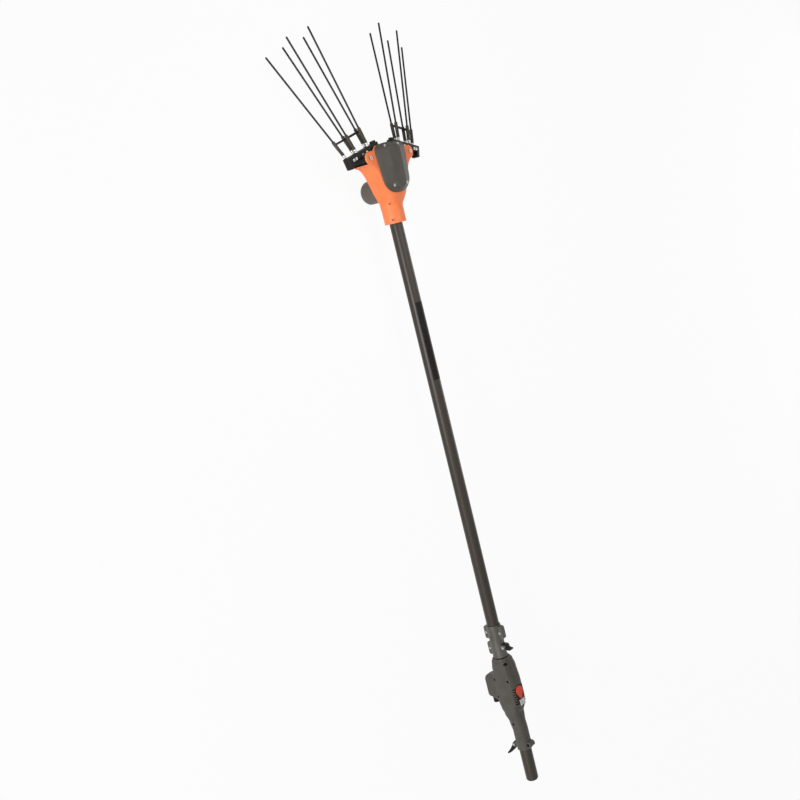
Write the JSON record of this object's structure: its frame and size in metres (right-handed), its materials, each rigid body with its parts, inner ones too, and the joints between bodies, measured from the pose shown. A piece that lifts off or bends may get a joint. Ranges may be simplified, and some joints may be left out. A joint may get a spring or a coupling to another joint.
{
  "type": "electric olive harvester",
  "caption": "Olive harvester: a dark telescopic pole with a grey switch handle and an orange head, whose motor swings paired combs of slender black tines to and fro.",
  "frame": {"origin": "centre of the tail tube's open end face, on that tube's axis; the main pole's axis runs 8.5 mm below it", "axes": "+X along the pole from the tail to the combs, +Z towards the switch and the gear cover, +Y to the left"},
  "size_m": [2.1395, 0.5168, 0.134],
  "materials": {
    "orange_shell": "moulded orange housing",
    "cover_grey": "dark grey moulded cover",
    "handle_grey": "dark grey textured plastic",
    "black_plastic": "black plastic",
    "pole_metal": "dark bronze anodised tube",
    "inner_metal": "grey anodised tube",
    "steel": "bright zinc-plated steel",
    "dark_steel": "black-oxide steel",
    "motor_metal": "grey-brown painted motor cap",
    "motor_core": "laminated steel",
    "gear_plastic": "ivory nylon",
    "bronze": "sintered bronze",
    "carbon": "black carbon-fibre rod",
    "comb_black": "black glass-filled nylon",
    "sleeve_grey": "grey rubber sleeve",
    "button_red": "red button",
    "window_silver": "silver light window",
    "label_black": "black label film",
    "board_green": "circuit board",
    "lead_black": "black curly lead",
    "rubber_black": "black rubber"
  },
  "bodies": {
    "pole_head": {"main_pole": "pole_metal", "pole_label": "label_black", "pole_guide": "black_plastic", "coiled_lead": "lead_black", "clamp_left_half": "cover_grey", "clamp_right_half": "cover_grey", "clamp_screws": "steel", "clamp_lever_pin": "steel", "clamp_shoe": "rubber_black", "front_head_shell": "orange_shell", "rear_head_shell": "orange_shell", "gear_cover": "cover_grey", "cover_screws": "steel", "head_screws": "steel", "pivot_bolts": "steel", "pivot_nuts": "steel", "motor_cap": "motor_metal", "motor_stator": "motor_core", "motor_screws": "steel", "gear_axles": "steel"},
    "clamp_lever": {"clamp_lever": "black_plastic"},
    "left_comb": {"left_comb_bar": "comb_black", "left_hub_bushes": "bronze", "left_bar_screws": "steel", "left_tines": "carbon", "left_tine_ferrules": "steel", "left_tine_sleeves": "sleeve_grey", "left_tine_brace": "comb_black"},
    "right_comb": {"right_comb_bar": "comb_black", "right_hub_bushes": "bronze", "right_bar_screws": "steel", "right_tines": "carbon", "right_tine_ferrules": "steel", "right_tine_sleeves": "sleeve_grey", "right_tine_brace": "comb_black"},
    "left_crank": {"left_crank_gear": "gear_plastic", "left_crank_roller": "steel"},
    "right_crank": {"right_crank_gear": "gear_plastic", "right_crank_roller": "steel"},
    "idler": {"idler_gear": "gear_plastic"},
    "rotor": {"motor_rotor": "motor_core", "drive_pinion": "steel"},
    "handle": {"inner_tube": "inner_metal", "inner_guide": "black_plastic", "handle_left_shell": "handle_grey", "handle_right_shell": "handle_grey", "handle_screws": "dark_steel", "controller_board": "board_green", "power_inlet": "black_plastic", "inlet_contacts": "bronze", "switch_panel": "black_plastic", "status_window": "window_silver", "switch_body": "black_plastic", "button_spring": "steel", "tail_lever_pin": "steel", "tail_shoe": "rubber_black"},
    "switch_button": {"switch_button": "button_red"},
    "tail_lever": {"tail_lever": "black_plastic"},
    "tail": {"tail_tube": "pole_metal", "tail_cap": "rubber_black"}
  },
  "joints": [
    {"name": "left_comb_swing", "type": "hinge", "parent": "pole_head", "child": "left_comb", "pos_m": [1.788, 0.078, 0], "axis": [0, 0, 1], "range_deg": [-7.25, 7.25]},
    {"name": "right_comb_swing", "type": "hinge", "parent": "pole_head", "child": "right_comb", "pos_m": [1.788, -0.078, 0], "axis": [0, 0, 1], "range_deg": [-7.25, 7.25]},
    {"name": "left_crank_turn", "type": "hinge", "parent": "pole_head", "child": "left_crank", "pos_m": [1.7519, 0.022, 0], "axis": [0, 0, 1], "range_deg": [-70, 70]},
    {"name": "right_crank_turn", "type": "hinge", "parent": "pole_head", "child": "right_crank", "pos_m": [1.7519, -0.022, 0], "axis": [0, 0, 1], "range_deg": [-70, 70]},
    {"name": "idler_turn", "type": "hinge", "parent": "pole_head", "child": "idler", "pos_m": [1.72227, 0.00748, 0], "axis": [0, 0, 1], "range_deg": [-140, 140]},
    {"name": "rotor_turn", "type": "hinge", "parent": "pole_head", "child": "rotor", "pos_m": [1.707, 0, 0], "axis": [0, 0, 1], "range_deg": [-256, 256]},
    {"name": "telescope_slide", "type": "slide", "parent": "pole_head", "child": "handle", "axis": [-1, 0, 0], "range_m": [0, 0.5], "deforming": ["coiled_lead"]},
    {"name": "clamp_lever_turn", "type": "hinge", "parent": "pole_head", "child": "clamp_lever", "pos_m": [0.408, 0, 0.0175], "axis": [0, 1, 0], "range_deg": [0, 90]},
    {"name": "button_press", "type": "slide", "parent": "handle", "child": "switch_button", "axis": [-0.0872, 0, -0.9962], "range_m": [0, 0.0025], "stiffness_N_per_m": 600, "deforming": ["button_spring"]},
    {"name": "tail_lever_turn", "type": "hinge", "parent": "handle", "child": "tail_lever", "pos_m": [0.105, 0, -0.0275], "axis": [0, -1, 0], "range_deg": [0, 90]},
    {"name": "tail_slide", "type": "slide", "parent": "handle", "child": "tail", "axis": [-1, 0, 0], "range_m": [0, 0.05]}
  ],
  "couplings": [
    {"joint": "right_comb_swing", "follows": "left_comb_swing", "ratio": -1},
    {"joint": "left_crank_turn", "follows": "left_comb_swing", "ratio": 8.9606},
    {"joint": "right_crank_turn", "follows": "left_comb_swing", "ratio": -8.9606},
    {"joint": "idler_turn", "follows": "left_comb_swing", "ratio": -17.921},
    {"joint": "rotor_turn", "follows": "left_comb_swing", "ratio": 32.855}
  ]
}
